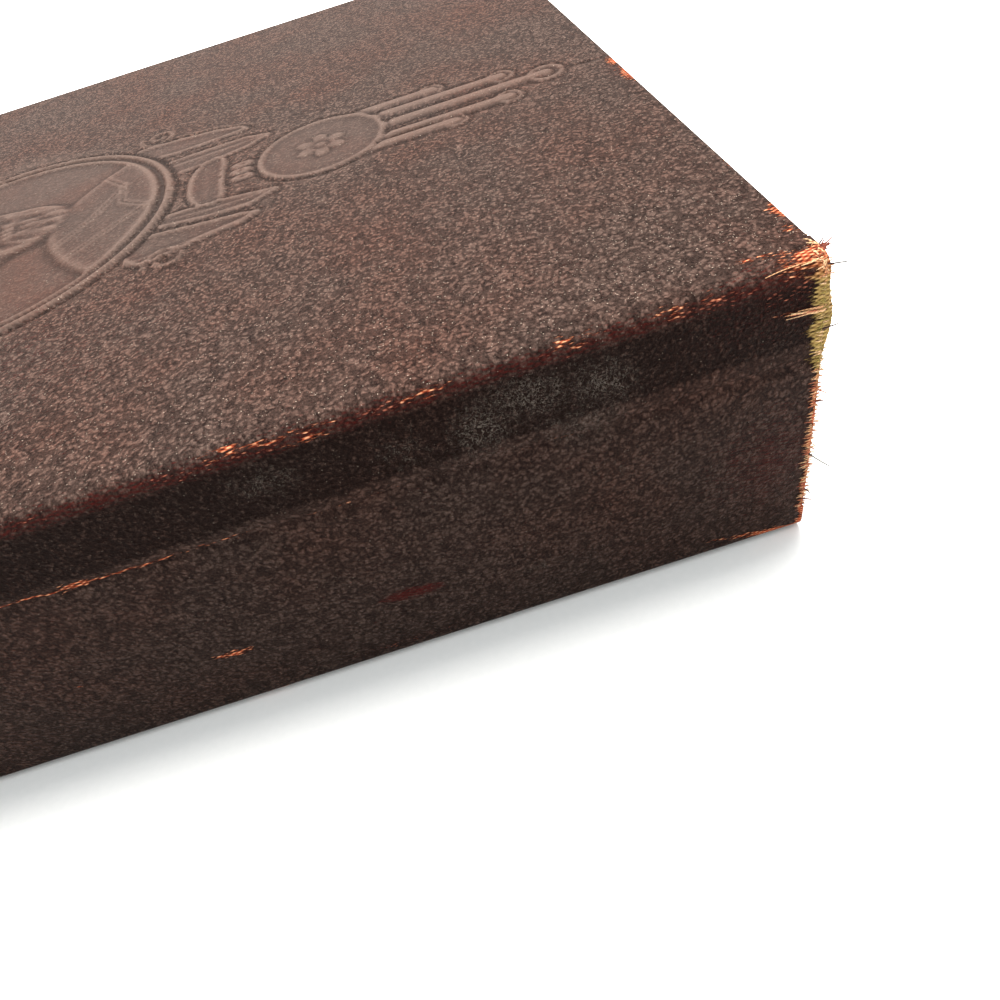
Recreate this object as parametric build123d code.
from build123d import *
import os

# A thick case-bound book. It lies on its back cover, with the front cover on top.
# X runs from the spine to the fore edge, Y from the tail to the head, Z up.
# The origin is the middle of the book's footprint, on the surface that it lies on.

# Driving dimensions, in millimetres
BOOK_WIDTH = 180.0  # outside of the spine to the covers' fore edge
BOOK_HEIGHT = 250.0  # the covers' tail edge to their head edge
TEXT_THICKNESS = 42.2  # the pressed stack of gatherings

SQUARE = 4.0  # how far the covers stand out past the pages at head, tail and fore edge
GATHERINGS = 20  # folded and sewn sections in the stack
FOLD_RADIUS = 0.5  # rounding of each section's fold, at the spine

BOARD_THICKNESS = 2.5
CLOTH_THICKNESS = 0.5
TURN_IN = 15.0  # cloth folded over an edge of a board or of the spine
CLOTH_EDGE_RADIUS = 0.4  # cloth pulled round the boards' outer edges
ENDPAPER_THICKNESS = 0.2
PASTEDOWN_MARGIN = 4.0  # bare turn-in left round the pastedown

SPINE_BULGE = 0.6  # how far the spine stands out between its two joints
STIFFENER_THICKNESS = 0.6
HOLLOW_GAP = 0.3  # air between the spine's turn-ins and the lined back of the pages
JOINT_CLEARANCE = 0.3  # between a cover's rounded back edge and the spine
JOINT_SETBACK = 0.4  # from the back of the pages to where the endpapers are pasted

TAPE_COUNT = 3
TAPE_SPACING = 75.0
TAPE_WIDTH = 14.0
TAPE_THICKNESS = 0.25
SLIP_LENGTH = 25.0  # the end of each tape that is glued to a board
THREAD_DIAMETER = 0.3
STITCH_OVERHANG = 1.6  # how far a stitch is longer than its tape is wide
MULL_THICKNESS = 0.25
MULL_SETBACK = 1.0  # the gauze stops this short of the boards' turn-ins
MULL_OVERLAP = 3.0  # how far the gauze reaches past the tape slips that it covers
LINING_THICKNESS = 0.3

BAND_BEAD = 1.8  # section of the head band's and tail band's bead
BAND_BEAD_RADIUS = 0.6
BAND_TAB_THICKNESS = 0.25
BAND_TAB_LENGTH = 11.0  # the band's tape that is glued to the back of the pages

# Heights of the layers, counted up from the outer face of the back cover
cover_thickness = CLOTH_THICKNESS + BOARD_THICKNESS
turn_in_top = cover_thickness + CLOTH_THICKNESS
pastedown_top = turn_in_top + ENDPAPER_THICKNESS
text_bottom = pastedown_top + ENDPAPER_THICKNESS
text_top = text_bottom + TEXT_THICKNESS
book_thickness = text_top + text_bottom
middle = book_thickness / 2

# Places along X, from the spine inwards
spine_face = -BOOK_WIDTH / 2
joint_face = spine_face + SPINE_BULGE
nose_radius = cover_thickness / 2
hinge_x = joint_face + nose_radius
spine_depth = CLOTH_THICKNESS + STIFFENER_THICKNESS + CLOTH_THICKNESS
lining_x = joint_face + spine_depth + HOLLOW_GAP
mull_x = lining_x + LINING_THICKNESS
thread_x = mull_x + MULL_THICKNESS
tape_x = thread_x + THREAD_DIAMETER
text_x = tape_x + TAPE_THICKNESS
inner_x = text_x + JOINT_SETBACK
fore_edge = BOOK_WIDTH / 2

half_height = BOOK_HEIGHT / 2
text_half = half_height - SQUARE
text_fore = fore_edge - SQUARE
mull_half = half_height - TURN_IN - MULL_SETBACK
flange_x = inner_x + SLIP_LENGTH + MULL_OVERLAP
tape_places = [(n - (TAPE_COUNT - 1) / 2) * TAPE_SPACING for n in range(TAPE_COUNT)]


def block(x_range, y_range, z_range):
    """A box between two places on each axis."""
    low, high = zip(x_range, y_range, z_range)
    size = [b - a for a, b in zip(low, high)]
    return Pos(*low) * Box(*size, align=(Align.MIN, Align.MIN, Align.MIN))


def rod_along_y(radius, length):
    return Rot(90, 0, 0) * Cylinder(radius, length)


def covering_shape():
    """The outside of one cover: the board's size with cloth all round and a rounded back edge."""
    slab = block((hinge_x, fore_edge), (-half_height, half_height), (0, turn_in_top))
    bottom = slab.faces().sort_by(Axis.Z)[0]
    outer_edges = [e for e in bottom.edges() if e.center().X > hinge_x + CLOTH_EDGE_RADIUS]
    slab = fillet(outer_edges, CLOTH_EDGE_RADIUS)
    open_joint = block(
        (hinge_x, inner_x), (-half_height, half_height), (cover_thickness, turn_in_top)
    )
    nose = Pos(hinge_x, 0, nose_radius) * rod_along_y(nose_radius, BOOK_HEIGHT)
    return slab - open_joint + nose


def board_shape():
    """One millboard, cut square, with its back edge rounded to fit inside the cloth."""
    length = BOOK_HEIGHT - 2 * CLOTH_THICKNESS
    slab = block(
        (hinge_x, fore_edge - CLOTH_THICKNESS),
        (-length / 2, length / 2),
        (CLOTH_THICKNESS, cover_thickness),
    )
    nose = rod_along_y(nose_radius - CLOTH_THICKNESS, length)
    return slab + Pos(hinge_x, 0, nose_radius) * nose


def cover_cloth(board):
    """Cloth over the board's outer face, round its edges and turned in on three sides."""
    bare_board = block(
        (inner_x, fore_edge - TURN_IN),
        (-half_height + TURN_IN, half_height - TURN_IN),
        (cover_thickness, turn_in_top),
    )
    return covering_shape() - board - bare_board


def tape_slips():
    """The ends of the sewing tapes, glued to the board's inner face."""
    slips = [
        block(
            (inner_x, inner_x + SLIP_LENGTH),
            (y - TAPE_WIDTH / 2, y + TAPE_WIDTH / 2),
            (cover_thickness, cover_thickness + TAPE_THICKNESS),
        )
        for y in tape_places
    ]
    return Compound(children=slips)


def mull_flange():
    """The gauze that runs on from the spine, glued over the tape slips."""
    return block(
        (inner_x, flange_x),
        (-mull_half, mull_half),
        (cover_thickness + TAPE_THICKNESS, turn_in_top),
    )


def pastedown():
    """Half of an endpaper, pasted over the turn-ins and down onto the board between them."""
    sheet = block(
        (inner_x, fore_edge - PASTEDOWN_MARGIN),
        (-half_height + PASTEDOWN_MARGIN, half_height - PASTEDOWN_MARGIN),
        (turn_in_top, pastedown_top),
    )
    x_range = (flange_x, fore_edge - TURN_IN)
    y_reach = half_height - TURN_IN
    sunk = block(x_range, (-y_reach, y_reach), (cover_thickness, pastedown_top))
    t = ENDPAPER_THICKNESS
    hollow = block(
        (x_range[0] + t, x_range[1] - t),
        (-y_reach + t, y_reach - t),
        (cover_thickness + t, pastedown_top),
    )
    return sheet + sunk - hollow


def spine_layer(depth, thickness, y_range):
    """A strip that follows the spine's shallow curve, this far under its outer face."""
    z_low = cover_thickness + JOINT_CLEARANCE
    half_chord = middle - z_low
    radius = (half_chord**2 + SPINE_BULGE**2) / (2 * SPINE_BULGE)
    y_length = y_range[1] - y_range[0]
    outer = rod_along_y(radius - depth, y_length)
    inner = rod_along_y(radius - depth - thickness, y_length)
    ring = Pos(spine_face + radius, sum(y_range) / 2, middle) * (outer - inner)
    window = block((spine_face, text_x), y_range, (z_low, book_thickness - z_low))
    return ring & window


def spine_stiffener():
    """The card that keeps the spine cloth flat."""
    reach = half_height - CLOTH_THICKNESS
    return spine_layer(CLOTH_THICKNESS, STIFFENER_THICKNESS, (-reach, reach))


def spine_cloth(stiffener):
    """Cloth over the stiffener, folded over its head and tail ends."""
    whole = spine_layer(0, spine_depth, (-half_height, half_height))
    reach = half_height - TURN_IN
    inside = spine_layer(spine_depth - CLOTH_THICKNESS, CLOTH_THICKNESS, (-reach, reach))
    return whole - stiffener - inside


def text_block():
    """The pages: flat at three sides, with a groove between every two folds at the back."""
    pages = block((text_x, text_fore), (-text_half, text_half), (text_bottom, text_top))
    pitch = TEXT_THICKNESS / GATHERINGS
    r = FOLD_RADIUS
    sketch = Sketch()
    for n in range(1, GATHERINGS):
        z = text_bottom + n * pitch
        low, deep, high = (text_x, z - r), (text_x + r, z), (text_x, z + r)
        folds = [RadiusArc(low, deep, r), RadiusArc(deep, high, r)]
        sketch += make_face(Curve(folds + [Line(high, low)]))
    plane = Plane(origin=(0, text_half, 0), x_dir=(1, 0, 0), z_dir=(0, -1, 0))
    grooves = extrude(plane * sketch, 2 * text_half)
    return pages - grooves


def flyleaf(bottom):
    return block(
        (text_x, text_fore), (-text_half, text_half), (bottom, bottom + ENDPAPER_THICKNESS)
    )


def back_strip(x_low, thickness, y_half):
    """A flat strip glued over the whole thickness of the pages at their back."""
    return block((x_low, x_low + thickness), (-y_half, y_half), (text_bottom, text_top))


def sewing_tapes():
    tape = back_strip(tape_x, TAPE_THICKNESS, TAPE_WIDTH / 2)
    return Compound(children=[Pos(0, y, 0) * tape for y in tape_places])


def sewing_thread():
    """One stitch over each tape for every gathering, with both ends going into the fold."""
    r = THREAD_DIAMETER / 2
    length = TAPE_WIDTH + STITCH_OVERHANG
    on_base = (Align.CENTER, Align.CENTER, Align.MIN)
    leg = Rot(0, 90, 0) * Cylinder(r, text_x - thread_x - r, align=on_base)
    stitch = rod_along_y(r, length)
    for y in (-length / 2, length / 2):
        stitch += Pos(0, y, 0) * Sphere(r)
        stitch += Pos(0, y, 0) * leg
    pitch = TEXT_THICKNESS / GATHERINGS
    stitches = [
        Pos(thread_x + r, y, text_bottom + (n + 0.5) * pitch) * stitch
        for y in tape_places
        for n in range(GATHERINGS)
    ]
    return Compound(children=stitches)


def end_band(side):
    """A bead that sits on the pages' end, with a tab glued to their back: side 1 is the head."""
    bead = block(
        (text_x, text_x + BAND_BEAD), (text_half, text_half + BAND_BEAD), (text_bottom, text_top)
    )
    outer_edges = bead.edges().filter_by(Axis.Z).group_by(Axis.Y)[-1]
    bead = fillet(outer_edges, BAND_BEAD_RADIUS)
    tab = block(
        (text_x - BAND_TAB_THICKNESS, text_x),
        (text_half - BAND_TAB_LENGTH, text_half + BAND_BEAD - BAND_BEAD_RADIUS),
        (text_bottom, text_top),
    )
    band = bead + tab
    return band if side > 0 else mirror(band, about=Plane.XZ)


def to_front(shape):
    """The same piece on the front cover: mirrored through the middle of the pages."""
    return mirror(shape, about=Plane.XY.offset(middle))


def all_pieces():
    board = board_shape()
    stiffener = spine_stiffener()
    cover_pieces = {
        "board": board,
        "cover_cloth": cover_cloth(board),
        "tape_slips": tape_slips(),
        "mull_flange": mull_flange(),
        "pastedown": pastedown(),
    }
    pieces = {
        "text_block": text_block(),
        "rear_flyleaf": flyleaf(pastedown_top),
        "front_flyleaf": flyleaf(text_top),
        "sewing_tapes": sewing_tapes(),
        "sewing_thread": sewing_thread(),
        "mull": back_strip(mull_x, MULL_THICKNESS, mull_half),
        "spine_lining": back_strip(lining_x, LINING_THICKNESS, text_half),
        "head_band": end_band(1),
        "tail_band": end_band(-1),
        "spine_stiffener": stiffener,
        "spine_cloth": spine_cloth(stiffener),
    }
    for name, shape in cover_pieces.items():
        pieces["back_" + name] = shape
        pieces["front_" + name] = to_front(shape)
    return pieces


os.makedirs("parts", exist_ok=True)
for node, shape in all_pieces().items():
    export_step(shape, f"parts/{node}.step")

print(f"book thickness {book_thickness:.2f} mm")
print(f"hinge axes at x {hinge_x:.2f}, z {nose_radius:.2f} and {book_thickness - nose_radius:.2f} mm")
